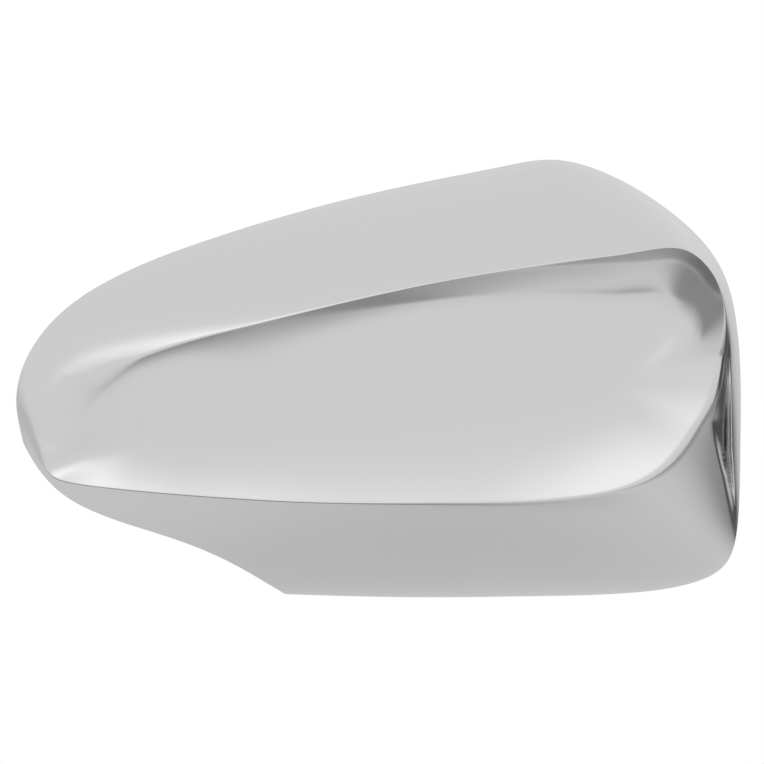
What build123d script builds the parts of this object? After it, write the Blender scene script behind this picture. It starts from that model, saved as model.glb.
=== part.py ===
from build123d import *
import math
import os

# Wing mirror cover: one moulded shell, open at the back.
# While it is drawn: X outboard, Y rearwards from the rear plane, Z up from the bottom edge.
# The finished shell is then moved so that the shoulder of its datum peg is the origin.

# Overall size
SPAN = 240.5
HEIGHT = 145.4
WALL = 2.5

# Face of the scoop: bowed in plan, furthest forward at BOW_X, leaning back above LEAN_Z
SCOOP_FRONT = 57.0
BOW_X = 30.0
BOW_RADIUS = 215.0
LEAN_DEG = 6.0
LEAN_Z = 70.0

# The edge of the scoop curls forward, to the lip above and to the ridge below.
# Values run from the nose to the outboard end, for the ridge's height with one for its middle.
CURL_LIP = (0.6, 14.0)
CURL_RIDGE = (5.0, 1.6, 5.5)
CURL_WIDTH_LIP = (6.0, 34.0)
CURL_WIDTH_RIDGE = (18.0, 34.0)
# Shares of the span at which the nose's curl starts to die away, over which it does so,
# and at which the outboard crest starts to rise
NOSE_END = 0.05
NOSE_FADE = 0.20
CREST_START = 0.60
# Power by which the curl dies away, one more under the lip, and powers by which
# the lip's curl grows and widens outboard
CURL_POWER = 2.0
LIP_GROWTH = 2.4
LIP_WIDENING = 4.0
# Between these shares of the height the ridge turns into the lip
LIP_START = 0.46
LIP_FULL = 0.68

# Pocket in the outboard side, between the flange and the ridge
POCKET_DEPTH = 5.0
POCKET_STEP = 0.08

# Stock that is cut off behind the rear plane
REAR_STOCK = 5.0

# Snap hooks round the rear edge
HOOK_WIDTH = 12.0
HOOK_THICK = 2.0
HOOK_ROOT = 4.0
HOOK_REACH = 9.0
HOOK_BARB = 1.6
HOOK_SINK = 0.8

# Locating pegs behind the scoop
PEG_SHOULDER = 18.0
PEG_BOSS_R = 4.5
PEG_PIN_R = 2.5
PEG_PIN_LENGTH = 10.0
PEG_CHAMFER = 0.8
GUSSET_THICK = 1.6
GUSSET_REACH = 9.0
GUSSET_RISE = 14.0

# Fullness of the side wall: two pull points, as shares of the way in and of the way forward
PULL_REAR = (0.15, 0.40)
PULL_FRONT = (0.55, 0.80)

# Outlines seen from the front, as shares of SPAN from the nose and of HEIGHT from the bottom edge.
# The points of the two outlines are paired: each pair is one section of the side wall.
RIM = [
    (0.0075, 0.370), (0.0000, 0.452), (0.0130, 0.543), (0.0530, 0.637), (0.1300, 0.727),
    (0.2510, 0.810), (0.4000, 0.886), (0.5490, 0.945), (0.6730, 0.986), (0.7480, 1.000),
    (0.8220, 0.964), (0.8890, 0.899), (0.9460, 0.817), (0.9760, 0.742), (0.9930, 0.640),
    (0.9990, 0.536), (1.0000, 0.413), (0.9990, 0.289), (0.9960, 0.172), (0.9800, 0.080),
    (0.9320, 0.034), (0.8490, 0.012), (0.7080, 0.004), (0.5410, 0.002), (0.3710, 0.009),
    (0.2420, 0.031), (0.1340, 0.093), (0.0560, 0.183), (0.0240, 0.277),
]
RIDGE = [
    (0.0440, 0.320), (0.0530, 0.376), (0.0740, 0.437), (0.1110, 0.495), (0.1840, 0.557),
    (0.3080, 0.616), (0.4460, 0.671), (0.5830, 0.719), (0.6950, 0.750), (0.7740, 0.769),
    (0.8410, 0.784), (0.8930, 0.797), (0.9300, 0.784), (0.9570, 0.739), (0.9750, 0.653),
    (0.9720, 0.564), (0.9590, 0.457), (0.9340, 0.382), (0.8970, 0.303), (0.8490, 0.257),
    (0.7910, 0.235), (0.7160, 0.221), (0.6000, 0.217), (0.4330, 0.219), (0.3080, 0.228),
    (0.1920, 0.242), (0.1090, 0.256), (0.0660, 0.268), (0.0470, 0.284),
]
# Line down the middle of the scoop, between its two ends
SPINE = [(0.170, 0.385), (0.800, 0.495)]
# Edge of the arm cut-out, from its sharp corner to the nose
ARM_EDGE = [
    (0.3710, 0.009), (0.2910, 0.087), (0.2010, 0.146), (0.1020, 0.203),
    (0.0440, 0.270), (0.0240, 0.313), (0.0100, 0.352),
]
# Pocket: place along the outlines, flange edge and crease as shares of the way in, share of the depth
POCKET = [
    (13.5, 0.78, 0.95, 0.0), (15.0, 0.62, 0.95, 0.7), (16.0, 0.44, 0.93, 1.0),
    (16.6, 0.33, 0.66, 0.8), (17.2, 0.20, 0.36, 0.4), (18.0, 0.08, 0.20, 0.0),
]
# Hooks: places along the outlines
HOOKS = [4.6, 7.2, 10.6, 15.4]
# Pegs: the datum peg comes first
PEGS = [(0.760, 0.490), (0.300, 0.465)]

RING_POINTS = 48
SIDE_RINGS = 10
CURL_STEPS = [0.0, 0.12, 0.26, 0.44, 0.68, 1.0]
CORE_SPOTS = 7
EPS = 1e-4
FAR = 400.0


def front_point(share):
    return Vector((share[0] - 0.5) * SPAN, 0, share[1] * HEIGHT)


def outline_steps():
    """Spline parameters shared by both outlines, so that paired points stay level with each other."""
    steps = [0.0]
    for i in range(len(RIM)):
        j = (i + 1) % len(RIM)
        rim_step = (front_point(RIM[j]) - front_point(RIM[i])).length
        ridge_step = (front_point(RIDGE[j]) - front_point(RIDGE[i])).length
        steps.append(steps[-1] + (rim_step + ridge_step) / 2)
    return [step / steps[-1] for step in steps]


STEPS = outline_steps()


def outline(shares):
    points = [front_point(share) for share in shares]
    return Edge.make_spline(points, periodic=True, parameters=STEPS)


rim_line = outline(RIM)
ridge_line = outline(RIDGE)


def place(station):
    """Spline parameter of a place counted in outline points."""
    i = int(station)
    return STEPS[i] + (STEPS[i + 1] - STEPS[i]) * (station - i)


def along(line, u):
    return line.position_at(u % 1.0, position_mode=PositionMode.PARAMETER)


def inward(line, u):
    """Unit vector in the front view, square to the line and towards the scoop."""
    step = along(line, u + EPS) - along(line, u - EPS)
    return Vector(step.Z, 0, -step.X).normalized()


def smooth(share):
    share = min(max(share, 0.0), 1.0)
    return share * share * (3 - 2 * share)


def scoop_base(x, z):
    bow = (x - BOW_X) ** 2 / (2 * BOW_RADIUS)
    return -SCOOP_FRONT + bow + (z - LEAN_Z) * math.tan(math.radians(LEAN_DEG))


def outboard_share(x):
    return min(max(x / SPAN + 0.5, 0.0), 1.0)


def lip_share(z):
    """How far the ridge has turned into the lip."""
    return smooth((z / HEIGHT - LIP_START) / (LIP_FULL - LIP_START))


def curl_height(point):
    outboard = outboard_share(point.X)
    nose, middle, end = CURL_RIDGE
    ridge = nose + (middle - nose) * smooth((outboard - NOSE_END) / NOSE_FADE)
    ridge += (end - middle) * smooth((outboard - CREST_START) / (1 - CREST_START))
    lip = CURL_LIP[0] + (CURL_LIP[1] - CURL_LIP[0]) * outboard ** LIP_GROWTH
    return ridge + (lip - ridge) * lip_share(point.Z)


def curl_width(point):
    outboard = outboard_share(point.X)
    lip = CURL_WIDTH_LIP[0] + (CURL_WIDTH_LIP[1] - CURL_WIDTH_LIP[0]) * outboard ** LIP_WIDENING
    ridge = CURL_WIDTH_RIDGE[0] + (CURL_WIDTH_RIDGE[1] - CURL_WIDTH_RIDGE[0]) * outboard
    return ridge + (lip - ridge) * lip_share(point.Z)


def edge_point(u):
    point = along(ridge_line, u)
    return Vector(point.X, scoop_base(point.X, point.Z) - curl_height(point), point.Z)


def spine_point(point):
    start, end = [front_point(share) for share in SPINE]
    run = end - start
    share = (point - start).dot(run) / run.dot(run)
    return start + run * min(max(share, 0.0), 1.0)


def foot_point(u):
    """Where the curl of the scoop's edge has died away."""
    point = along(ridge_line, u)
    return point + (spine_point(point) - point).normalized() * curl_width(point)


def side_shares(t):
    """Shares of the way in and of the way forward along the side wall."""
    blend = [3 * t * (1 - t) ** 2, 3 * t * t * (1 - t), t ** 3]
    pulls = [PULL_REAR, PULL_FRONT, (1, 1)]
    return [sum(pull[axis] * b for pull, b in zip(pulls, blend)) for axis in range(2)]


def side(start, end, t):
    """Cubic side wall from a rear point to an edge point."""
    across, forward = side_shares(t)
    return Vector(
        start.X + (end.X - start.X) * across,
        start.Y + (end.Y - start.Y) * forward,
        start.Z + (end.Z - start.Z) * across,
    )


def pocket(u, t):
    """How far the side wall is set back between the flange and the ridge."""
    places = [place(row[0]) for row in POCKET]
    if not places[0] < u < places[-1]:
        return Vector(0, 0, 0)
    i = max(k for k in range(len(places) - 1) if places[k] <= u)
    share = smooth((u - places[i]) / (places[i + 1] - places[i]))
    flange, crease, depth = [a + (b - a) * share for a, b in zip(POCKET[i][1:], POCKET[i + 1][1:])]
    across = side_shares(t)[0]
    step = smooth((across - flange + POCKET_STEP) / (2 * POCKET_STEP))
    ramp = min(max((crease - across) / (crease - flange), 0.0), 1.0)
    return Vector(0, depth * POCKET_DEPTH * step * ramp, 0)


def rim_point(u):
    return along(rim_line, u)


def outer_side(u, t):
    return side(rim_point(u), edge_point(u), t)


def curl(edge, foot, setback, q):
    """Point on the scoop's curled edge: q runs from 0 at the edge to 1 at the foot."""
    x = edge.X + (foot.X - edge.X) * q
    z = edge.Z + (foot.Z - edge.Z) * q
    height = scoop_base(edge.X, edge.Z) + setback - edge.Y
    fall = (1 - q) ** (CURL_POWER + lip_share(edge.Z))
    return Vector(x, scoop_base(x, z) + setback - height * fall, z)


def outer_curl(u, q):
    return curl(edge_point(u), foot_point(u), 0, q)


def inner_normal(surface, u, v, dv):
    """Unit normal of a front surface, pointing into the wall."""
    across = surface(u + EPS, v) - surface(u - EPS, v)
    along_v = (surface(u, v + dv) - surface(u, v)) * math.copysign(1, dv)
    return across.cross(along_v).normalized()


def inner_rim(u):
    return rim_point(u) + inward(rim_line, u) * WALL


def inner_edge(u):
    """Inner corner behind the lip or the ridge, a wall away from both faces."""
    n_side = inner_normal(outer_side, u, 1.0, -EPS)
    n_curl = inner_normal(outer_curl, u, 0.0, EPS)
    mitre = (n_side + n_curl) * (WALL / (1 + n_side.dot(n_curl)))
    return edge_point(u) + mitre


def ring(function):
    points = [function(i / RING_POINTS) for i in range(RING_POINTS)]
    steps = [i / RING_POINTS for i in range(RING_POINTS + 1)]
    return Wire([Edge.make_spline(points, periodic=True, parameters=steps)])


def closed_form(rim, edge, setback):
    """Closed solid from a side wall, a scoop and a flat back."""
    back = Vector(0, REAR_STOCK, 0)
    back_ring = ring(lambda u: rim(u) + back)
    side_steps = [i / SIDE_RINGS for i in range(SIDE_RINGS + 1)]
    side_rings = [ring(lambda u, t=t: side(rim(u), edge(u), t) + pocket(u, t)) for t in side_steps]
    curl_rings = [ring(lambda u, q=q: curl(edge(u), foot_point(u), setback, q)) for q in CURL_STEPS]
    start, end = [front_point(share) for share in SPINE]
    spots = [start + (end - start) * ((i + 0.5) / CORE_SPOTS) for i in range(CORE_SPOTS)]
    spots = [Vector(spot.X, scoop_base(spot.X, spot.Z) + setback, spot.Z) for spot in spots]
    core = Face.make_surface(curl_rings[-1], surface_points=spots)
    wall = Shell.make_loft([back_ring] + side_rings)
    band = Shell.make_loft(curl_rings)
    return Solid(Shell(list(wall.faces()) + list(band.faces()) + [core, Face(back_ring)]))


def prism(points, run):
    """Solid swept straight from a closed outline of points."""
    return Solid.extrude(Face(Wire.make_polygon(points, close=True)), run)


def behind_rear():
    """Block of everything behind the rear plane."""
    return Solid.make_box(2 * FAR, FAR, 2 * FAR, Plane((-FAR, 0, -FAR)))


def arm_cut():
    points = [front_point(share) for share in ARM_EDGE]
    edge = Edge.make_spline(points)
    first, last = points[0], points[-1]
    corners = [last, Vector(-FAR, 0, last.Z), Vector(-FAR, 0, -FAR), Vector(first.X, 0, -FAR), first]
    lines = [Edge.make_line(a, b) for a, b in zip(corners, corners[1:])]
    outline_face = Face(Wire([edge] + lines)).moved(Location((0, -FAR, 0)))
    return Solid.extrude(outline_face, Vector(0, 2 * FAR, 0))


def hook(u):
    """Snap hook standing back from the inside of the rear edge, its barb towards the middle."""
    root = rim_point(u)
    inwards = inward(rim_line, u)
    across = inwards.cross(Vector(0, 1, 0))
    outer_face = WALL - HOOK_SINK
    inner_face = WALL + HOOK_THICK
    catch = HOOK_REACH - 2 * HOOK_THICK
    profile = [
        (outer_face, -HOOK_ROOT), (outer_face, HOOK_REACH), (inner_face - HOOK_THICK / 2, HOOK_REACH),
        (inner_face + HOOK_BARB, catch + HOOK_THICK / 2), (inner_face + HOOK_BARB, catch),
        (inner_face, catch), (inner_face, -HOOK_ROOT),
    ]
    start = root - across * (HOOK_WIDTH / 2)
    points = [start + inwards * n + Vector(0, y, 0) for n, y in profile]
    return prism(points, across * HOOK_WIDTH)


def cylinder_y(centre, radius, length):
    return Solid.make_cylinder(radius, length, Plane(centre, z_dir=(0, 1, 0)))


def behind_scoop(spot):
    """Point in the middle of the scoop's wall, behind a place seen from the front."""
    return Vector(spot.X, scoop_base(spot.X, spot.Z) + WALL / 2, spot.Z)


def peg(share):
    """Locating peg: a boss with four gussets, a shoulder and a chamfered pin."""
    spot = front_point(share)
    root = behind_scoop(spot)
    shoulder = Vector(spot.X, -PEG_SHOULDER, spot.Z)
    ahead = root - Vector(0, 2 * PEG_BOSS_R, 0)
    body = cylinder_y(ahead, PEG_BOSS_R, shoulder.Y - ahead.Y)
    slope_x = behind_scoop(spot + Vector(EPS, 0, 0)) - root
    slope_z = behind_scoop(spot + Vector(0, 0, EPS)) - root
    body = body.split(Plane(root, z_dir=slope_z.cross(slope_x)), Keep.TOP)
    pin = cylinder_y(shoulder, PEG_PIN_R, PEG_PIN_LENGTH)
    pin = pin.chamfer(PEG_CHAMFER, None, [pin.edges().sort_by(Axis.Y)[-1]])
    body = body + pin
    rise = Vector(0, GUSSET_RISE, 0)
    for turn in range(4):
        angle = math.radians(45 + 90 * turn)
        out = Vector(math.cos(angle), 0, math.sin(angle))
        across = out.cross(Vector(0, 1, 0)) * GUSSET_THICK
        toe = behind_scoop(spot + out * GUSSET_REACH)
        points = [root, toe, root + out * PEG_BOSS_R + rise, root + rise]
        body = body + prism([point - across / 2 for point in points], across)
    return body


def build_cover():
    outer = closed_form(rim_point, edge_point, 0)
    inner = closed_form(inner_rim, inner_edge, WALL)
    shell = outer - inner
    shell = shell - behind_rear() - arm_cut()
    for station in HOOKS:
        shell = shell + hook(place(station))
    for share in PEGS:
        shell = shell + peg(share)
    datum = front_point(PEGS[0])
    return shell.moved(Location((-datum.X, PEG_SHOULDER, -datum.Z)))


cover = build_cover()
os.makedirs("parts", exist_ok=True)
export_step(cover, "parts/mirror_cover.step")
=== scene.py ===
import math

import bmesh
import bpy
import numpy as np
from bpy.props import FloatProperty, FloatVectorProperty, PointerProperty
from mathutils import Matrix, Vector


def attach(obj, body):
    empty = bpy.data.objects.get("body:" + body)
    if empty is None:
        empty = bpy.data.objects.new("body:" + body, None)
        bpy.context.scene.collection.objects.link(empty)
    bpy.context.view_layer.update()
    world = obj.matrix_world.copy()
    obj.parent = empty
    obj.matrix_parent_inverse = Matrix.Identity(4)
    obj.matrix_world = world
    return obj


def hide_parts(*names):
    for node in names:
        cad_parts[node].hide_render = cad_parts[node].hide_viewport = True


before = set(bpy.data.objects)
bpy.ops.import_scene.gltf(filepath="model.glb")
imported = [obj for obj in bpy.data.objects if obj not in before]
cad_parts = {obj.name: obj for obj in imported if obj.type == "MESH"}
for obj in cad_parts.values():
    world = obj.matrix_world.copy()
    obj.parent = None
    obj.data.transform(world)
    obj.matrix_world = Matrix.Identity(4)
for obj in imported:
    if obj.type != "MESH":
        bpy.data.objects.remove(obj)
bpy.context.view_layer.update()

bl_info = {
    "name": "Wing mirror cover",
    "version": (1, 0, 0),
    "blender": (4, 5, 0),
    "location": "3D View > Sidebar > Mirror cover",
    "description": "Builds a chrome-plated wing mirror cover round its CAD frame, with a white studio",
    "category": "Object",
}

CAD_NODE = "mirror_cover"
BODY = "root"

# Outlines seen from the front, as shares of the span from the nose and of the height from the bottom.
# The points of the two outlines are paired: each pair is one section of the side wall.
RIM = [
    (0.0075, 0.370), (0.0000, 0.452), (0.0130, 0.543), (0.0530, 0.637), (0.1300, 0.727),
    (0.2510, 0.810), (0.4000, 0.886), (0.5490, 0.945), (0.6730, 0.986), (0.7480, 1.000),
    (0.8220, 0.964), (0.8890, 0.899), (0.9460, 0.817), (0.9760, 0.742), (0.9930, 0.640),
    (0.9990, 0.536), (1.0000, 0.413), (0.9990, 0.289), (0.9960, 0.172), (0.9800, 0.080),
    (0.9320, 0.034), (0.8490, 0.012), (0.7080, 0.004), (0.5410, 0.002), (0.3710, 0.009),
    (0.2420, 0.031), (0.1340, 0.093), (0.0560, 0.183), (0.0240, 0.277),
]
RIDGE = [
    (0.0440, 0.320), (0.0530, 0.376), (0.0740, 0.437), (0.1110, 0.495), (0.1840, 0.557),
    (0.3080, 0.616), (0.4460, 0.671), (0.5830, 0.719), (0.6950, 0.750), (0.7740, 0.769),
    (0.8410, 0.784), (0.8930, 0.797), (0.9300, 0.784), (0.9570, 0.739), (0.9750, 0.653),
    (0.9720, 0.564), (0.9590, 0.457), (0.9340, 0.382), (0.8970, 0.303), (0.8490, 0.257),
    (0.7910, 0.235), (0.7160, 0.221), (0.6000, 0.217), (0.4330, 0.219), (0.3080, 0.228),
    (0.1920, 0.242), (0.1090, 0.256), (0.0660, 0.268), (0.0470, 0.284),
]
# Line down the middle of the scoop, and the edge of the arm cut-out from its sharp corner to the nose
SPINE = [(0.185, 0.400), (0.800, 0.495)]
ARM_EDGE = [
    (0.3710, 0.009), (0.2910, 0.087), (0.2010, 0.146), (0.1020, 0.203),
    (0.0440, 0.270), (0.0240, 0.313), (0.0100, 0.352),
]
# Pocket beside the flange: the flange's inner line and the pocket's inboard line, from the bottom up
FLANGE_LINE = [(0.9949, 0.1437), (0.9838, 0.3380), (0.9825, 0.4977), (0.9800, 0.6000), (0.9728, 0.7032)]
CREASE_LINE = [
    (0.9949, 0.1437), (0.9783, 0.2807), (0.9550, 0.4063), (0.9676, 0.4977),
    (0.9756, 0.5880), (0.9762, 0.6600), (0.9728, 0.7032),
]
# Rounding of the scoop's edge: place along the outlines and radius as a share of the edge rounding
ROUNDING = [
    (0.0, 0.20), (1.0, 0.80), (2.0, 0.80), (3.0, 0.30), (4.0, 0.06), (5.0, 0.03), (6.0, 0.02),
    (13.0, 0.02), (14.5, 0.08), (16.0, 0.16), (18.0, 0.18), (20.0, 0.08), (23.0, 0.02),
    (26.0, 0.02), (28.0, 0.05), (29.0, 0.20),
]
# Places of the snap hooks along the outlines, and of the pegs as shares of the span and the height
HOOKS = [4.6, 7.2, 10.6, 15.4]
PEGS = [(0.760, 0.490), (0.300, 0.465)]

# Brightness of the surround by angle: nought is ahead of the part, 90 is overhead
SKY = [
    (-180, 0.75), (-90, 0.85), (-30, 0.90), (0, 0.95), (9, 1.0),
    (90, 1.0), (150, 1.0), (165, 0.95), (180, 0.75),
]
# Where the surround's glow starts and where it is full, along a direction of length 1: upwards, across to
# either side, where it ends, and towards the nose, where it gains. Overhead it ends by angle, as in SKY.
GLOW_RISE = (0.28, 0.58)
GLOW_SIDES = (0.86, 1.0)
GLOW_OVERHEAD = (math.radians(48), math.radians(66))
GLOW_NOSE = (0.35, 0.60)
GLOW_NOSE_GAIN = 0.6
# The same for the shade behind on the outboard side, whose top edge is tilted, and for the shade ahead
REAR_ACROSS = (0.20, 0.40)
REAR_TOP = (-0.09, -0.03)
REAR_TILT = 0.12
REAR_DEPTH = (0.0, 0.30)
FRONT_ACROSS = (0.0, 0.50)
FRONT_TOP = (-0.10, 0.12)
FRONT_DEPTH = (0.0, 0.10)

# Scales of the noise in the plating's roughness and of the moulding's ripple
DRIFT_SCALE = 18.0
RIPPLE_SCALE = 55.0

# Columns round the shell, and rows of each region of its two skins
COLUMNS = 480
SIDE_ROWS = 96
ROUND_ROWS = 10
CURL_ROWS = 28
CORE_ROWS = 18
INSIDE_ROWS = 22
INSIDE_CURL_ROWS = 8
INSIDE_CORE_ROWS = 6
# Small step along a parameter or a width, and the distance within which points are joined
NUDGE = 1e-4
JOIN = 1e-6


def length(name, description, default):
    return FloatProperty(name=name, description=description, default=default, unit="LENGTH", precision=4)


def factor(name, description, default, top=1.0):
    return FloatProperty(name=name, description=description, default=default, min=0.0, max=top)


def colour(name, description, default):
    return FloatVectorProperty(
        name=name, description=description, default=default, size=3, subtype="COLOR", min=0.0, max=1.0
    )


class CoverSizes(bpy.types.PropertyGroup):
    """Sizes of the shell, its hooks and its pegs."""

    span: length("Span", "Length from the nose to the outboard side", 0.2405)
    height: length("Height", "Height from the bottom edge to the top", 0.1454)
    wall: length("Wall", "Thickness of the shell", 0.0025)
    scoop_front: length("Scoop front", "How far the scoop stands ahead of the rear plane", 0.057)
    bow_x: length("Bow place", "Where the scoop stands furthest forward", 0.030)
    bow_radius: length("Bow radius", "Radius of the scoop in plan", 0.215)
    lean: FloatProperty(
        name="Lean", description="Lean of the scoop's face", default=math.radians(6), subtype="ANGLE"
    )
    lean_z: length("Lean height", "Height about which the scoop leans", 0.070)
    curl_lip_nose: length("Lip curl at nose", "Forward curl to the lip at the nose", 0.0006)
    curl_lip: length("Lip curl outboard", "Forward curl to the lip at the outboard end", 0.019)
    curl_ridge_nose: length("Ridge curl at nose", "Forward curl to the ridge at the nose", 0.0026)
    curl_ridge_middle: length("Ridge curl in the middle", "Forward curl to the ridge in the middle", 0.0016)
    curl_ridge: length("Ridge curl outboard", "Forward curl to the ridge at the outboard end", 0.0055)
    width_lip_nose: length("Lip curl width at nose", "Width of the curl under the lip at the nose", 0.008)
    width_lip: length("Lip curl width outboard", "Width of the curl under the lip's corner", 0.034)
    width_ridge_nose: length("Ridge curl width at nose", "Width of the curl above the nose's ridge", 0.018)
    width_ridge: length("Ridge curl width outboard", "Width of the curl above the ridge outboard", 0.034)
    lip_start: factor("Lip start", "Share of the height at which the ridge starts to turn into the lip", 0.54)
    lip_lower: factor("Lip lower", "How much lower it starts at the nose, as a share of the height", 0.18)
    lip_full: factor("Lip full", "Share of the height at which it is all lip", 0.74)
    pocket_depth: length("Pocket depth", "Depth of the pocket beside the flange", 0.010)
    pocket_width: length("Pocket width", "Width at which the pocket has its whole depth", 0.0035)
    pocket_step: length("Pocket step", "Width of the step from the flange into the pocket", 0.0012)
    pocket_run: length("Pocket run", "Distance outboard over which the pocket gets its whole depth", 0.0085)
    pocket_rear: length("Pocket rear", "Distance ahead of the rear plane at which it is whole", 0.014)
    pocket_edge: factor("Pocket edge", "Share of the side, next to the edge, over which it fades", 0.06)
    edge_round: length("Edge rounding", "Rounding of the scoop's edge at a share of 1", 0.015)
    hook_width: length("Hook width", "Width of a snap hook", 0.012)
    hook_thick: length("Hook thickness", "Thickness of a snap hook", 0.002)
    hook_root: length("Hook root", "How far a hook runs forward of the rear plane", 0.004)
    hook_reach: length("Hook reach", "How far a hook stands behind the rear plane", 0.009)
    hook_barb: length("Hook barb", "How far a hook's barb stands out", 0.0016)
    hook_sink: length("Hook sink", "How far a hook is sunk in the wall", 0.0008)
    peg_shoulder: length("Peg shoulder", "Depth of a peg's shoulder ahead of the rear plane", 0.018)
    peg_boss: length("Peg boss radius", "Radius of a peg's boss", 0.0045)
    peg_pin: length("Peg pin radius", "Radius of a peg's pin", 0.0025)
    peg_length: length("Peg pin length", "Length of a peg's pin", 0.010)
    peg_chamfer: length("Peg chamfer", "Chamfer at the pin's end", 0.0008)
    gusset_thick: length("Gusset thickness", "Thickness of a peg's gusset", 0.0016)
    gusset_reach: length("Gusset reach", "How far a gusset reaches from the peg's axis", 0.009)
    gusset_rise: length("Gusset rise", "How far a gusset climbs the boss", 0.014)


class CoverFinish(bpy.types.PropertyGroup):
    """Colours and polish of the plating."""

    bright: colour("Bright plating", "Colour of the polished plating", (0.60, 0.60, 0.605))
    bright_roughness: factor("Bright roughness", "Roughness of the polished plating", 0.17)
    edge_tint: factor("Edge tint", "Dimming of the plating where it is seen edge on", 0.9)
    satin: colour("Satin plating", "Colour of the plating inside", (0.52, 0.52, 0.53))
    satin_roughness: factor("Satin roughness", "Roughness of the plating inside", 0.34)
    unevenness: factor("Unevenness", "Change of roughness over the surface", 0.03)
    ripple: length("Ripple height", "Height of the moulding's faint ripple", 0.00001)


class StudioSettings(bpy.types.PropertyGroup):
    """Camera, floor and light."""

    camera_distance: length("Camera distance", "Distance from the camera to the rear plane", 6.0)
    frame_width: length("Frame width", "Width of the picture at the rear plane", 0.2536)
    aim_x: length("Aim across", "Middle of the picture, from the middle of the span", 0.00116)
    aim_z: length("Aim height", "Middle of the picture, from the bottom edge", 0.0717)
    floor_drop: length("Floor drop", "Depth of the floor below the bottom edge", 0.090)
    floor_size: length("Floor size", "Side of the square floor", 2.4)
    floor_colour: colour("Floor colour", "Colour of the floor", (0.80, 0.80, 0.80))
    fill: factor("Fill level", "Brightness of the surround as a light", 1.0, 4.0)
    glow: factor("Glow", "Extra brightness of the surround ahead of and above the part", 0.44, 4.0)
    room_shade: factor("Room shade", "Darkness of the room low down behind, on the outboard side", 0.9)
    side_shade: factor("Side shade", "Darkness of the floor on the outboard side", 0.55)
    side_start: length("Side shade start", "Distance outboard at which the floor starts to darken", 0.15)
    side_full: length("Side shade full", "Distance outboard at which the floor is darkest", 0.70)
    front_shade: factor("Front shade", "Darkness of the floor ahead of the part", 0.58)
    front_start: length("Front shade start", "Distance ahead at which the floor starts to darken", 0.05)
    front_full: length("Front shade full", "Distance ahead at which the floor is darkest", 0.12)
    front_right: length("Front shade edge", "Outboard edge of the dark floor ahead of the part", -0.08)
    front_fade: length("Front shade fade", "Distance over which that edge fades", 0.28)
    front_room: factor("Front room shade", "Darkness of the room low down ahead, on the nose's side", 0.4)
    softbox_radiance: factor("Softbox level", "Brightness of the softbox", 0.6, 10.0)
    softbox_distance: length("Softbox distance", "Distance from the softbox to the part", 1.6)
    softbox_elevation: FloatProperty(
        name="Softbox height", description="Elevation of the softbox",
        default=math.radians(75), subtype="ANGLE",
    )
    softbox_width: length("Softbox width", "Width of the softbox", 1.6)
    softbox_depth: length("Softbox depth", "Depth of the softbox", 0.75)


def smooth(share):
    share = np.clip(share, 0.0, 1.0)
    return share * share * (3 - 2 * share)


def eased(value, start, run):
    """Smooth rise from 0 at the start to 1 after the run."""
    return smooth((value - start) / run)


def unit(vectors):
    return vectors / np.linalg.norm(vectors, axis=-1, keepdims=True)


def spread(*spans):
    """Row fractions over several spans: each span is its start, its end and its number of rows."""
    rows = []
    for start, end, count in spans:
        share = np.linspace(0.0, 1.0, count, endpoint=False)[:, None]
        rows.append(start + (end - start) * share)
    rows.append(np.broadcast_to(spans[-1][1], rows[-1].shape[1:])[None, :])
    return np.concatenate(rows)


class ClosedSpline:
    """Smooth closed line through points, at parameters that run from 0 to 1."""

    def __init__(self, points, steps):
        self.points = np.array(points)
        self.steps = steps
        self.gaps = np.diff(steps)
        count = len(points)
        rise = (np.roll(self.points, -1, axis=0) - self.points) / self.gaps[:, None]
        matrix = np.zeros((count, count))
        for i in range(count):
            matrix[i, i - 1] += self.gaps[i - 1]
            matrix[i, i] += 2 * (self.gaps[i - 1] + self.gaps[i])
            matrix[i, (i + 1) % count] += self.gaps[i]
        self.bends = np.linalg.solve(matrix, 6 * (rise - np.roll(rise, 1, axis=0)))

    def __call__(self, u):
        u = np.mod(u, 1.0)
        i = np.clip(np.searchsorted(self.steps, u, side="right") - 1, 0, len(self.points) - 1)
        j = (i + 1) % len(self.points)
        gap = self.gaps[i][..., None]
        b = (u - self.steps[i])[..., None] / gap
        a = 1 - b
        bend = (a ** 3 - a) * self.bends[i] + (b ** 3 - b) * self.bends[j]
        flat = a * self.points[i] + b * self.points[j] + bend * gap * gap / 6
        return np.stack([flat[..., 0], np.zeros_like(flat[..., 0]), flat[..., 1]], axis=-1)


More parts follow.
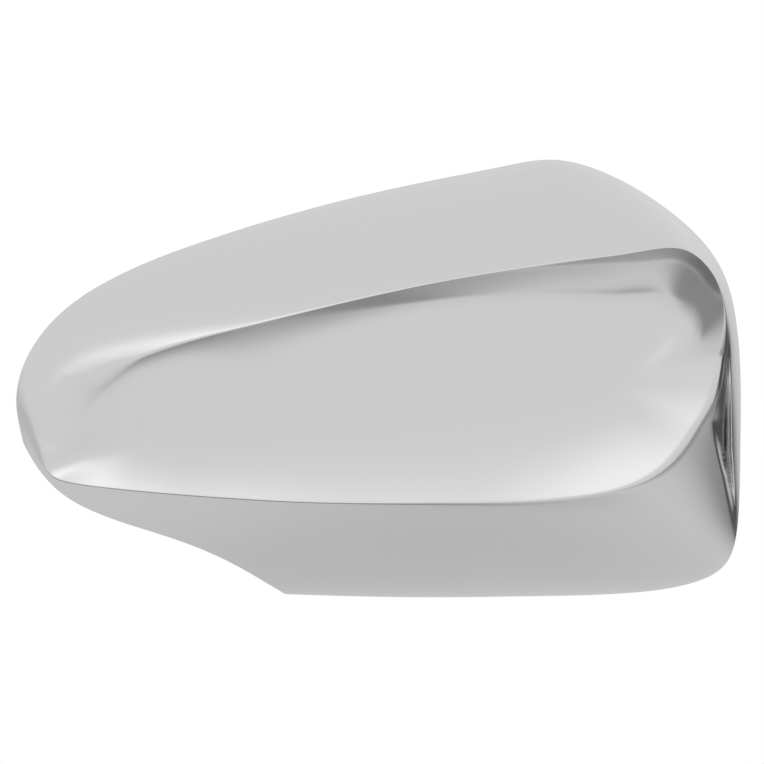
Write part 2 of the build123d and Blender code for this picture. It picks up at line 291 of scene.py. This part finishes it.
class CoverForm:
    """The cover's surfaces, drawn from the rear plane and the bottom edge, in metres."""

    # Pulls on the side wall's curve, as shares of the way across and of the way forward
    PULL_REAR = (0.15, 0.40)
    PULL_FRONT = (0.55, 0.80)
    # Start and run of the curl's changes, as shares of the span from the nose or of the height
    LIP_SPAN = (0.15, 0.20)
    NOSE_SPAN = (0.05, 0.20)
    NOSE_HEIGHT = (0.30, 0.12)
    RIDGE_SPAN = (0.60, 0.40)
    # Power by which the lip grows outboard
    LIP_POWER = 4
    # The pocket's inboard step and its step on the inner skin, in steps, and its depth there, in depths
    INBOARD_STEP = 2
    INNER_STEP = 4
    INNER_DEPTH = 0.5
    # Samples along the arm cut-out's edge and along a side, and halvings in a search
    ARM_SAMPLES = 200
    SIDE_SAMPLES = 400
    HALVINGS = 40

    def __init__(self, sizes):
        self.s = sizes
        rim = [self.front(share) for share in RIM]
        ridge = [self.front(share) for share in RIDGE]
        gaps = [
            (math.dist(rim[i - 1], rim[i]) + math.dist(ridge[i - 1], ridge[i])) / 2 for i in range(len(rim))
        ]
        steps = np.concatenate([[0.0], np.cumsum(gaps[1:] + gaps[:1])])
        self.steps = steps / steps[-1]
        self.rim = ClosedSpline(rim, self.steps)
        self.ridge = ClosedSpline(ridge, self.steps)
        self.spine = [np.array([x, 0.0, z]) for x, z in map(self.front, SPINE)]
        arm = np.array([self.front(share) for share in ARM_EDGE])[::-1]
        self.arm_x = np.linspace(arm[0, 0], arm[-1, 0], self.ARM_SAMPLES)
        self.arm_z = self.through(arm[:, 0], arm[:, 1], self.arm_x)
        datum = self.front(PEGS[0])
        self.origin = np.array([datum[0], -sizes.peg_shoulder, datum[1]])
        ts = np.linspace(0.0, 1.0, self.SIDE_SAMPLES)
        self.across_table = (self.blend(ts)[0], ts)

    def front(self, share):
        return ((share[0] - 0.5) * self.s.span, share[1] * self.s.height)

    @staticmethod
    def through(knots, values, places):
        """Natural cubic line through values."""
        gaps = np.diff(knots)
        matrix = np.eye(len(knots))
        right = np.zeros(len(knots))
        for i in range(1, len(knots) - 1):
            matrix[i, i - 1:i + 2] = gaps[i - 1], 2 * (gaps[i - 1] + gaps[i]), gaps[i]
            right[i] = 6 * ((values[i + 1] - values[i]) / gaps[i] - (values[i] - values[i - 1]) / gaps[i - 1])
        bends = np.linalg.solve(matrix, right)
        i = np.clip(np.searchsorted(knots, places, side="right") - 1, 0, len(knots) - 2)
        b = (places - knots[i]) / gaps[i]
        a = 1 - b
        bend = (a ** 3 - a) * bends[i] + (b ** 3 - b) * bends[i + 1]
        return a * values[i] + b * values[i + 1] + bend * gaps[i] ** 2 / 6

    def place(self, station):
        return np.interp(station, np.arange(len(self.steps)), self.steps)

    def rounding(self, u):
        """Radius of the scoop's edge, eased from one listed place to the next."""
        stations, values = np.array(ROUNDING).T
        places = self.place(stations)
        i = np.clip(np.searchsorted(places, u, side="right") - 1, 0, len(places) - 2)
        share = eased(u, places[i], places[i + 1] - places[i])
        return (values[i] + (values[i + 1] - values[i]) * share) * self.s.edge_round

    def base(self, x, z):
        """Depth of the scoop without its curl."""
        s = self.s
        return -s.scoop_front + (x - s.bow_x) ** 2 / (2 * s.bow_radius) + (z - s.lean_z) * math.tan(s.lean)

    def outboard(self, x):
        return np.clip(x / self.s.span + 0.5, 0.0, 1.0)

    def lip_share(self, point):
        """How far the ridge has turned into the lip, which starts lower down at the nose."""
        nose = 1 - eased(self.outboard(point[..., 0]), *self.LIP_SPAN)
        start = self.s.lip_start - self.s.lip_lower * nose
        return eased(point[..., 2] / self.s.height, start, self.s.lip_full - self.s.lip_start)

    def curl_height(self, point):
        """How far the scoop's edge stands ahead of its base."""
        s = self.s
        outboard = self.outboard(point[..., 0])
        nose = 1 - eased(outboard, *self.NOSE_SPAN)
        nose = nose * (1 - eased(point[..., 2] / s.height, *self.NOSE_HEIGHT))
        ridge = s.curl_ridge_middle + (s.curl_ridge_nose - s.curl_ridge_middle) * nose
        ridge = ridge + (s.curl_ridge - s.curl_ridge_middle) * eased(outboard, *self.RIDGE_SPAN)
        lip = s.curl_lip_nose + (s.curl_lip - s.curl_lip_nose) * outboard ** self.LIP_POWER
        return ridge + (lip - ridge) * self.lip_share(point)

    def curl_width(self, point):
        """How far the curl reaches from the edge into the scoop."""
        s = self.s
        outboard = self.outboard(point[..., 0])
        lip = s.width_lip_nose + (s.width_lip - s.width_lip_nose) * outboard ** self.LIP_POWER
        ridge = s.width_ridge_nose + (s.width_ridge - s.width_ridge_nose) * outboard
        return ridge + (lip - ridge) * self.lip_share(point)

    def edge(self, u):
        point = self.ridge(u)
        point[..., 1] = self.base(point[..., 0], point[..., 2]) - self.curl_height(point)
        return point

    def spine_point(self, point):
        start, end = self.spine
        run = end - start
        share = np.clip((point - start) @ run / (run @ run), 0.0, 1.0)
        return start + run * share[..., None]

    def foot(self, u):
        point = self.ridge(u)
        return point + unit(self.spine_point(point) - point) * self.curl_width(point)[..., None]

    def blend(self, t):
        """Shares of the way across and of the way forward along a side."""
        weights = (3 * t * (1 - t) ** 2, 3 * t * t * (1 - t), t ** 3)
        across = self.PULL_REAR[0] * weights[0] + self.PULL_FRONT[0] * weights[1] + weights[2]
        forward = self.PULL_REAR[1] * weights[0] + self.PULL_FRONT[1] * weights[1] + weights[2]
        return across, forward

    def side(self, start, end, t):
        """Side wall from a rear point to an edge point."""
        across, forward = self.blend(t)
        shares = np.stack([across, forward, across], axis=-1)
        return start + (end - start) * shares

    def pocket(self, points, step_width):
        """How far points of the side are set back beside the flange, less towards the rear plane."""
        x, z = points[..., 0], points[..., 2]
        lines = [np.array([self.front(share) for share in line]) for line in (FLANGE_LINE, CREASE_LINE)]
        flange, crease = [np.interp(z, line[:, 1], line[:, 0]) for line in lines]
        width = np.maximum(flange - crease, NUDGE)
        corner_x, corner_z = min(self.front(share) for share in CREASE_LINE)
        start = np.where(z < corner_z, corner_x, crease)
        deep = np.clip((x - start) / self.s.pocket_run, 0.0, 1.0) * smooth(width / self.s.pocket_width)
        step = smooth((flange - x) / step_width + 0.5)
        step = step * smooth((x - crease) / (self.INBOARD_STEP * step_width) + 0.5)
        return self.s.pocket_depth * deep * step * smooth(-points[..., 1] / self.s.pocket_rear)

    def outer_side(self, u, t, end=1.0):
        """Side wall with the pocket, which fades out towards the side's end."""
        points = self.side(self.rim(u), self.edge(u), t)
        points[..., 1] += self.pocket(points, self.s.pocket_step) * smooth((end - t) / self.s.pocket_edge)
        return points

    def curl(self, edge, foot, setback, q):
        """Curl from the edge to its foot. It falls off by the square at the ridge, by the cube at the lip."""
        x = edge[..., 0] + (foot[..., 0] - edge[..., 0]) * q
        z = edge[..., 2] + (foot[..., 2] - edge[..., 2]) * q
        height = self.base(edge[..., 0], edge[..., 2]) + setback - edge[..., 1]
        fall = (1 - q) ** (2 + self.lip_share(edge))
        return np.stack([x, self.base(x, z) + setback - height * fall, z], axis=-1)

    def outer_curl(self, u, q):
        return self.curl(self.edge(u), self.foot(u), 0.0, q)

    def core(self, u, setback, w):
        """Middle of the scoop: w runs from 0 at the foot of the curl to 1 on the spine."""
        foot = self.foot(u)
        points = foot + (self.spine_point(self.ridge(u)) - foot) * w[..., None]
        points[..., 1] = self.base(points[..., 0], points[..., 2]) + setback
        return points

    def inward(self, line, u):
        step = line(u + NUDGE) - line(u - NUDGE)
        return unit(np.stack([step[..., 2], np.zeros_like(u), -step[..., 0]], axis=-1))

    def inner_rim(self, u):
        return self.rim(u) + self.inward(self.rim, u) * self.s.wall

    def inner_edge(self, u):
        """Inner corner behind the lip or the ridge, a wall away from both faces."""
        one, none = np.ones_like(u), np.zeros_like(u)

        def plain(place, t):
            return self.side(self.rim(place), self.edge(place), t)

        run_side = plain(u + NUDGE, one) - plain(u - NUDGE, one)
        rise_side = plain(u, one) - plain(u, one - NUDGE)
        run_curl = self.outer_curl(u + NUDGE, none) - self.outer_curl(u - NUDGE, none)
        rise_curl = self.outer_curl(u, none + NUDGE) - self.outer_curl(u, none)
        n_side = unit(np.cross(run_side, rise_side))
        n_curl = unit(np.cross(run_curl, rise_curl))
        share = self.s.wall / (1 + (n_side * n_curl).sum(axis=-1, keepdims=True))
        return self.edge(u) + (n_side + n_curl) * share

    def inner_path(self, u, p):
        """Inner skin: p runs from 0 at the rear to 1 behind the edge and 2 at the foot of the curl."""
        side = self.side(self.inner_rim(u), self.inner_edge(u), np.minimum(p, 1.0))
        side[..., 1] += self.pocket(side, self.INNER_STEP * self.s.pocket_step) * self.INNER_DEPTH
        curl = self.curl(self.inner_edge(u), self.foot(u), self.s.wall, np.clip(p - 1, 0.0, 1.0))
        return np.where((p < 1)[..., None], side, curl)

    def first_row(self, surface, u, top):
        """Parameter at which each section comes out of the arm cut-out."""
        low, high = np.zeros_like(u), np.full_like(u, top)
        for _ in range(self.HALVINGS):
            middle = (low + high) / 2
            point = surface(u, middle)
            level = np.interp(point[..., 0], self.arm_x, self.arm_z)
            lost = (point[..., 0] < self.arm_x[-1]) & (point[..., 2] < level)
            low, high = np.where(lost, middle, low), np.where(lost, high, middle)
        return np.where(high < NUDGE, 0.0, high)

    def columns(self):
        """Section places round the outlines, one of them at the cut-out's sharp corner."""
        places = (np.arange(COLUMNS) + 0.5) / COLUMNS
        corner = self.place(RIM.index(ARM_EDGE[0]))
        places[np.argmin(abs(places - corner))] = corner
        return places


def row_mesh(grid):
    """Faces between the rows of a grid of points, whose columns run round."""
    rows, columns = grid.shape[:2]
    faces = []
    for r in range(rows - 1):
        for c in range(columns):
            d = (c + 1) % columns
            faces.append((r * columns + c, (r + 1) * columns + c, (r + 1) * columns + d, r * columns + d))
    return grid.reshape(-1, 3), faces


def add_piece(name, points, faces, materials):
    mesh = bpy.data.meshes.new(name)
    mesh.from_pydata([tuple(point) for point in points], [], faces)
    mesh.update()
    for material in materials:
        mesh.materials.append(material)
    piece = bpy.data.objects.new(name, mesh)
    bpy.context.scene.collection.objects.link(piece)
    return piece


def belong(piece):
    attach(piece, BODY)
    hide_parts(CAD_NODE)


class Signal:
    """A node's output that takes part in Python sums: each sum adds one Math node."""

    def __init__(self, shader, socket):
        self.shader = shader
        self.socket = socket

    def math(self, operation, first, second):
        return self.shader.node("ShaderNodeMath", {"operation": operation}, {0: first, 1: second})[0]

    def __add__(self, other):
        return self.math("ADD", self, other)

    __radd__ = __add__

    def __sub__(self, other):
        return self.math("SUBTRACT", self, other)

    def __rsub__(self, other):
        return self.math("SUBTRACT", other, self)

    def __mul__(self, other):
        return self.math("MULTIPLY", self, other)

    __rmul__ = __mul__


class NodeSet:
    """Nodes of one material or world."""

    def __init__(self, tree):
        self.tree = tree
        self.tree.nodes.clear()

    def node(self, kind, settings, sockets):
        """New node: its settings are set first, then the values or links of its sockets."""
        made = self.tree.nodes.new(kind)
        for name, value in settings.items():
            if name == "stops":
                self.stops(made.color_ramp.elements, value)
            else:
                setattr(made, name, value)
        for key, value in sockets.items():
            if isinstance(value, Signal):
                self.tree.links.new(value.socket, made.inputs[key])
            else:
                made.inputs[key].default_value = value
        return [Signal(self, socket) for socket in made.outputs]

    def mix(self, share, first, second):
        """Colour between two colours. The node's colour inputs are 6 and 7, and its colour output is 2."""
        return self.node("ShaderNodeMix", {"data_type": "RGBA"}, {0: share, 6: first, 7: second})[2]

    def fade(self, value, start, full):
        """Smooth rise from 0 at the start to 1 where it is full."""
        reach = {"Value": value, "From Min": start, "From Max": full}
        return self.node("ShaderNodeMapRange", {"interpolation_type": "SMOOTHSTEP"}, reach)[0]

    @staticmethod
    def stops(elements, values):
        while len(elements) < len(values):
            elements.new(1.0)
        for element, (position, level) in zip(elements, values):
            element.position = position
            element.color = (level, level, level, 1.0)


def plating(name, colour_rgb, roughness, finish, rippled):
    material = bpy.data.materials.new(name)
    material.use_nodes = True
    shader = NodeSet(material.node_tree)
    place = shader.node("ShaderNodeTexCoord", {}, {})[3]
    drift = shader.node("ShaderNodeTexNoise", {}, {"Vector": place, "Scale": DRIFT_SCALE, "Detail": 2.0})[0]
    sockets = {
        "Base Color": (*colour_rgb, 1.0),
        "Metallic": 1.0,
        "Specular Tint": (finish.edge_tint, finish.edge_tint, finish.edge_tint, 1.0),
        "Roughness": roughness + finish.unevenness * (drift - 0.5),
    }
    if rippled:
        noise = {"Vector": place, "Scale": RIPPLE_SCALE, "Detail": 0.0}
        ripple = shader.node("ShaderNodeTexNoise", {}, noise)[0]
        bump = {"Height": ripple, "Strength": 1.0, "Distance": finish.ripple}
        sockets["Normal"] = shader.node("ShaderNodeBump", {}, bump)[0]
    surface = shader.node("ShaderNodeBsdfPrincipled", {}, sockets)[0]
    shader.node("ShaderNodeOutputMaterial", {}, {"Surface": surface})
    return material


def bright_plating(finish):
    made = bpy.data.materials.get("bright_plating")
    return made or plating("bright_plating", finish.bright, finish.bright_roughness, finish, True)


def satin_plating(finish):
    made = bpy.data.materials.get("satin_plating")
    return made or plating("satin_plating", finish.satin, finish.satin_roughness, finish, False)


def sharpen(mesh, loops):
    """Marks the edges along closed loops of vertices as sharp."""
    sharp = mesh.attributes.new("sharp_edge", "BOOLEAN", "EDGE")
    borders = {frozenset((loop[i - 1], loop[i])) for loop in loops for i in range(len(loop))}
    for edge in mesh.edges:
        sharp.data[edge.index].value = frozenset(edge.vertices) in borders


def weld(mesh, rows):
    """Joins the vertices of rows that lie in one place."""
    joined = bmesh.new()
    joined.from_mesh(mesh)
    joined.verts.ensure_lookup_table()
    bmesh.ops.remove_doubles(joined, verts=[joined.verts[i] for row in rows for i in row], dist=JOIN)
    joined.to_mesh(mesh)
    joined.free()


class COVER_OT_shell(bpy.types.Operator):
    """Makes the moulded shell: hood, lip, scoop, ridge, skirt, flange and inside"""

    bl_idname = "mirror_cover.shell"
    bl_label = "Shell"
    # Furthest places at which a section of either skin may come out of the arm cut-out
    LAST_OUTSIDE = 0.98
    LAST_INSIDE = 1.9
    # Largest shares of the side and of the curl that the rounding may take
    SIDE_ROUND = 0.3
    CURL_ROUND = 0.4

    def outside(self, form, u):
        start = form.first_row(form.outer_side, u, self.LAST_OUTSIDE)
        edge = form.edge(u)
        near = form.side(form.rim(u), edge, np.full_like(u, 1 - NUDGE))
        side_speed = np.linalg.norm(edge - near, axis=-1) / NUDGE
        curl_speed = np.linalg.norm(form.outer_curl(u, np.full_like(u, NUDGE)) - edge, axis=-1) / NUDGE
        radius = form.rounding(u)
        side_end = 1 - np.minimum(radius / side_speed, self.SIDE_ROUND)
        curl_start = np.minimum(radius / curl_speed, self.CURL_ROUND)
        shares = np.linspace(0.0, 1.0, SIDE_ROWS)[:, None]
        across = form.blend(start)[0] + (form.blend(side_end)[0] - form.blend(start)[0]) * shares
        side_rows = np.interp(across, *form.across_table)
        side_rows[0], side_rows[-1] = start, side_end
        side = np.stack([form.outer_side(u, t, side_end) for t in side_rows])
        first, last = side[-1], form.outer_curl(u, curl_start)
        rounding = []
        for share in np.linspace(0.0, 1.0, ROUND_ROWS + 2)[1:-1]:
            rounding.append((1 - share) ** 2 * first + 2 * share * (1 - share) * edge + share ** 2 * last)
        curl_rows = spread((curl_start, np.ones_like(u), CURL_ROWS))
        curl = np.stack([form.outer_curl(u, q) for q in curl_rows])
        core = np.stack([form.core(u, 0.0, np.full_like(u, w)) for w in np.linspace(0, 1, CORE_ROWS)[1:]])
        return np.concatenate([side, np.stack(rounding), curl, core])

    def inside(self, form, u):
        start = form.first_row(form.inner_path, u, self.LAST_INSIDE)
        bend = np.maximum(start, 1.0)
        rows = spread((start, bend, INSIDE_ROWS), (bend, np.full_like(u, 2.0), INSIDE_CURL_ROWS))
        skin = np.stack([form.inner_path(u, p) for p in rows])
        shares = np.linspace(0, 1, INSIDE_CORE_ROWS)[1:]
        core = np.stack([form.core(u, form.s.wall, np.full_like(u, w)) for w in shares])
        return np.concatenate([skin, core])

    def execute(self, context):
        form = CoverForm(context.scene.cover_sizes)
        finish = context.scene.cover_finish
        u = form.columns()
        outside = self.outside(form, u)
        inside = self.inside(form, u)
        points_out, faces_out = row_mesh(outside - form.origin)
        points_in, faces_in = row_mesh(inside - form.origin)
        shift = len(points_out)
        count = len(u)
        faces_in = [tuple(i + shift for i in reversed(face)) for face in faces_in]
        faces_rim = [(c, (c + 1) % count, shift + (c + 1) % count, shift + c) for c in range(count)]
        materials = [bright_plating(finish), satin_plating(finish)]
        piece = add_piece(
            "shell", np.concatenate([points_out, points_in]), faces_out + faces_rim + faces_in, materials
        )
        mesh = piece.data
        bright = len(faces_out) + len(faces_rim)
        for polygon in mesh.polygons:
            polygon.use_smooth = True
            polygon.material_index = int(polygon.index >= bright)
        total = len(mesh.vertices)
        sharpen(mesh, (range(count), range(shift, shift + count)))
        weld(mesh, (range(shift - count, shift), range(total - count, total)))
        belong(piece)
        return {"FINISHED"}


def prism(points, run):
    """Points and faces of an outline swept straight."""
    count = len(points)
    both = list(points) + [point + run for point in points]
    faces = [tuple(reversed(range(count))), tuple(range(count, 2 * count))]
    faces += [(i, (i + 1) % count, count + (i + 1) % count, count + i) for i in range(count)]
    return both, faces


def soften(piece, width):
    bevel = piece.modifiers.new("soft edges", "BEVEL")
    bevel.width = width
    bevel.segments = 2
    bevel.limit_method = "ANGLE"


def outward(piece):
    """Turns the faces of a closed piece outwards."""
    turned = bmesh.new()
    turned.from_mesh(piece.data)
    bmesh.ops.recalc_face_normals(turned, faces=turned.faces)
    turned.to_mesh(piece.data)
    turned.free()


class COVER_OT_hooks(bpy.types.Operator):
    """Makes the snap hooks round the inside of the rear edge"""

    bl_idname = "mirror_cover.hooks"
    bl_label = "Snap hooks"

    def execute(self, context):
        sizes = context.scene.cover_sizes
        form = CoverForm(sizes)
        back = np.array([0.0, 1.0, 0.0])
        near = sizes.wall - sizes.hook_sink
        far = sizes.wall + sizes.hook_thick
        catch = sizes.hook_reach - 2 * sizes.hook_thick
        satin = satin_plating(context.scene.cover_finish)
        profile = [
            (near, -sizes.hook_root), (near, sizes.hook_reach),
            (far - sizes.hook_thick / 2, sizes.hook_reach),
            (far + sizes.hook_barb, catch + sizes.hook_thick / 2), (far + sizes.hook_barb, catch),
            (far, catch), (far, -sizes.hook_root),
        ]
        for number, station in enumerate(HOOKS):
            u = np.array([form.place(station)])
            root = form.rim(u)[0] - form.origin
            inwards = form.inward(form.rim, u)[0]
            across = np.cross(inwards, back)
            start = root - across * sizes.hook_width / 2
            points, faces = prism(
                [start + inwards * n + back * y for n, y in profile], across * sizes.hook_width
            )
            piece = add_piece(f"hook_{number + 1}", points, faces, [satin])
            outward(piece)
            soften(piece, sizes.hook_thick / 10)
            belong(piece)
        return {"FINISHED"}


class COVER_OT_pegs(bpy.types.Operator):
    """Makes the locating pegs behind the scoop, each with its gussets"""

    bl_idname = "mirror_cover.pegs"
    bl_label = "Locating pegs"
    SEGMENTS = 48
    GUSSET_TURNS = (45, 135, 225, 315)
    SHARP_ANGLE = math.radians(30)

    def turned(self, profile):
        """Points and faces of a profile turned about the peg's axis."""
        angles = np.linspace(0, 2 * math.pi, self.SEGMENTS, endpoint=False)
        grid = np.stack([
            np.stack([r * np.cos(angles), np.full_like(angles, y), r * np.sin(angles)], axis=-1)
            for y, r in profile
        ])
        points, faces = row_mesh(grid)
        last = len(points) - self.SEGMENTS
        faces.append(tuple(range(self.SEGMENTS)))
        faces.append(tuple(range(last, len(points))))
        return points, faces

    def execute(self, context):
        sizes = context.scene.cover_sizes
        form = CoverForm(sizes)
        satin = satin_plating(context.scene.cover_finish)
        rise = np.array([0.0, sizes.gusset_rise, 0.0])
        for number, share in enumerate(PEGS):
            x, z = form.front(share)

            def behind(dx, dz):
                return np.array([x + dx, form.base(x + dx, z + dz) + sizes.wall / 2, z + dz])

            root = behind(0.0, 0.0)
            shoulder = -sizes.peg_shoulder
            tip = shoulder + sizes.peg_length
            profile = [
                (root[1], sizes.peg_boss), (shoulder, sizes.peg_boss), (shoulder, sizes.peg_pin),
                (tip - sizes.peg_chamfer, sizes.peg_pin), (tip, sizes.peg_pin - sizes.peg_chamfer),
            ]
            points, faces = self.turned(profile)
            points = [point + np.array([x, 0.0, z]) for point in points]
            for point in points[:self.SEGMENTS]:
                point[1] = behind(point[0] - x, point[2] - z)[1]
            for degrees in self.GUSSET_TURNS:
                angle = math.radians(degrees)
                out = np.array([math.cos(angle), 0.0, math.sin(angle)])
                across = np.cross(out, [0.0, 1.0, 0.0]) * sizes.gusset_thick
                toe = behind(*(out[[0, 2]] * sizes.gusset_reach))
                corners = [root, toe, root + out * sizes.peg_boss + rise, root + rise]
                more, more_faces = prism([corner - across / 2 for corner in corners], across)
                faces += [tuple(i + len(points) for i in face) for face in more_faces]
                points += more
            piece = add_piece(f"peg_{number + 1}", np.array(points) - form.origin, faces, [satin])
            outward(piece)
            piece.data.shade_smooth()
            piece.data.set_sharp_from_angle(angle=self.SHARP_ANGLE)
            belong(piece)
        return {"FINISHED"}


class COVER_OT_studio(bpy.types.Operator):
    """Sets up the camera, the floor, the white surround and the softbox"""

    bl_idname = "mirror_cover.studio"
    bl_label = "Studio"

    def camera(self, context, form, studio):
        data = bpy.data.cameras.new("camera")
        camera = bpy.data.objects.new("camera", data)
        context.scene.collection.objects.link(camera)
        aim = Vector((studio.aim_x, 0.0, studio.aim_z)) - Vector(form.origin)
        camera.location = aim - Vector((0.0, studio.camera_distance, 0.0))
        camera.rotation_euler = (math.radians(90), 0.0, 0.0)
        data.sensor_width = 36.0
        data.lens = data.sensor_width * studio.camera_distance / studio.frame_width
        data.clip_end = 2 * studio.camera_distance
        context.scene.camera = camera

    def floor(self, form, studio):
        half = studio.floor_size / 2
        z = -form.origin[2] - studio.floor_drop
        corners = [(-half, -half, z), (half, -half, z), (half, half, z), (-half, half, z)]
        material = bpy.data.materials.new("pale_floor")
        material.use_nodes = True
        shader = NodeSet(material.node_tree)
        rays = {ray.socket.name: ray for ray in shader.node("ShaderNodeLightPath", {}, {})}
        # Painted shade: outboard of the part and ahead of it, the floor's colour is darkened towards black
        # for glossy rays only. The shade shows only in the plating's reflections, and the camera sees the
        # floor evenly pale.
        place = shader.node("ShaderNodeNewGeometry", {}, {})[0]
        outboard, behind = shader.node("ShaderNodeSeparateXYZ", {}, {"Vector": place})[:2]
        rear_plane = -form.origin[1]
        side = shader.fade(outboard, studio.side_start, studio.side_full) * studio.side_shade
        ahead = shader.fade(rear_plane - behind, studio.front_start, studio.front_full) * studio.front_shade
        drawn = outboard + form.origin[0]
        ahead = ahead * (1 - shader.fade(drawn, studio.front_right, studio.front_right + studio.front_fade))
        painted_shade = 1 - (1 - side) * (1 - ahead)
        pale, black = (*studio.floor_colour, 1.0), (0.0, 0.0, 0.0, 1.0)
        paint = {
            "Base Color": shader.mix(painted_shade * rays["Is Glossy Ray"], pale, black),
            "Roughness": 0.9,
            "Specular IOR Level": 0.0,
        }
        surface = shader.node("ShaderNodeBsdfPrincipled", {}, paint)[0]
        shader.node("ShaderNodeOutputMaterial", {}, {"Surface": surface})
        add_piece("floor", corners, [(0, 1, 2, 3)], [material])

    def surround(self, context, studio):
        world = bpy.data.worlds.new("white_surround")
        world.use_nodes = True
        context.scene.world = world
        shader = NodeSet(world.node_tree)
        rays = {ray.socket.name: ray for ray in shader.node("ShaderNodeLightPath", {}, {})}
        seen = rays["Is Camera Ray"]
        shown = seen + rays["Is Glossy Ray"] + rays["Is Transmission Ray"]
        direction = shader.node("ShaderNodeTexCoord", {}, {})[0]
        x, y, z = shader.node("ShaderNodeSeparateXYZ", {}, {"Vector": direction})
        angle = z.math("ARCTAN2", z, 0 - y)
        turn = angle * (0.5 / math.pi) + 0.5
        top = max(level for degrees, level in SKY)
        stops = [((degrees + 180) / 360, level / top) for degrees, level in SKY]
        sky = shader.node("ShaderNodeValToRGB", {"stops": stops}, {"Fac": turn})[0]
        inboard, across = 0 - x, x.math("ABSOLUTE", x, 0)
        glow = shader.fade(z, *GLOW_RISE) * (1 - shader.fade(angle, *GLOW_OVERHEAD))
        glow = glow * (1 - shader.fade(across, *GLOW_SIDES))
        glow = glow * (shader.fade(inboard, *GLOW_NOSE) * GLOW_NOSE_GAIN + 1) * studio.glow
        rear = shader.fade(x, *REAR_ACROSS) * (1 - shader.fade(z - x * REAR_TILT, *REAR_TOP))
        rear = rear * shader.fade(y, *REAR_DEPTH)
        front = shader.fade(inboard, *FRONT_ACROSS) * (1 - shader.fade(z, *FRONT_TOP))
        front = front * (1 - shader.fade(y, *FRONT_DEPTH))
        shade = 1 - (1 - rear * studio.room_shade) * (1 - front * studio.front_room)
        studio_light = (sky * top + glow) * (1 - shade) * (studio.fill + (1 - studio.fill) * shown)
        level = studio_light + (1 - studio_light) * seen
        white = (1.0, 1.0, 1.0, 1.0)
        light = shader.node("ShaderNodeBackground", {}, {"Color": white, "Strength": level})[0]
        shader.node("ShaderNodeOutputWorld", {}, {"Surface": light})

    def softbox(self, context, form, studio):
        data = bpy.data.lights.new("softbox", "AREA")
        data.shape = "RECTANGLE"
        data.size = studio.softbox_width
        data.size_y = studio.softbox_depth
        data.energy = studio.softbox_radiance * math.pi * data.size * data.size_y
        lamp = bpy.data.objects.new("softbox", data)
        context.scene.collection.objects.link(lamp)
        aim = Vector((studio.aim_x, 0.0, studio.aim_z)) - Vector(form.origin)
        back = Vector((0.0, -math.cos(studio.softbox_elevation), math.sin(studio.softbox_elevation)))
        lamp.location = aim + back * studio.softbox_distance
        lamp.rotation_euler = (-back).to_track_quat("-Z", "Y").to_euler()
        lamp.visible_camera = False
        lamp.visible_glossy = False

    def execute(self, context):
        studio = context.scene.cover_studio
        form = CoverForm(context.scene.cover_sizes)
        self.camera(context, form, studio)
        self.floor(form, studio)
        self.surround(context, studio)
        self.softbox(context, form, studio)
        context.scene.view_settings.view_transform = "Standard"
        return {"FINISHED"}


OPERATORS = (COVER_OT_shell, COVER_OT_hooks, COVER_OT_pegs, COVER_OT_studio)


class COVER_PT_panel(bpy.types.Panel):
    """Lists the steps that build the cover"""

    bl_idname = "COVER_PT_panel"
    bl_label = "Mirror cover"
    bl_space_type = "VIEW_3D"
    bl_region_type = "UI"
    bl_category = "Mirror cover"

    def draw(self, context):
        for operator in OPERATORS:
            self.layout.operator(operator.bl_idname)
        for group in (context.scene.cover_sizes, context.scene.cover_finish, context.scene.cover_studio):
            box = self.layout.box()
            for name in group.__annotations__:
                box.prop(group, name)


CLASSES = (CoverSizes, CoverFinish, StudioSettings, *OPERATORS, COVER_PT_panel)


def register():
    for cls in CLASSES:
        bpy.utils.register_class(cls)
    bpy.types.Scene.cover_sizes = PointerProperty(type=CoverSizes)
    bpy.types.Scene.cover_finish = PointerProperty(type=CoverFinish)
    bpy.types.Scene.cover_studio = PointerProperty(type=StudioSettings)


def unregister():
    del bpy.types.Scene.cover_studio
    del bpy.types.Scene.cover_finish
    del bpy.types.Scene.cover_sizes
    for cls in reversed(CLASSES):
        bpy.utils.unregister_class(cls)


def main():
    register()
    bpy.ops.mirror_cover.shell()
    bpy.ops.mirror_cover.hooks()
    bpy.ops.mirror_cover.pegs()
    bpy.ops.mirror_cover.studio()


if __name__ == "__main__":
    main()
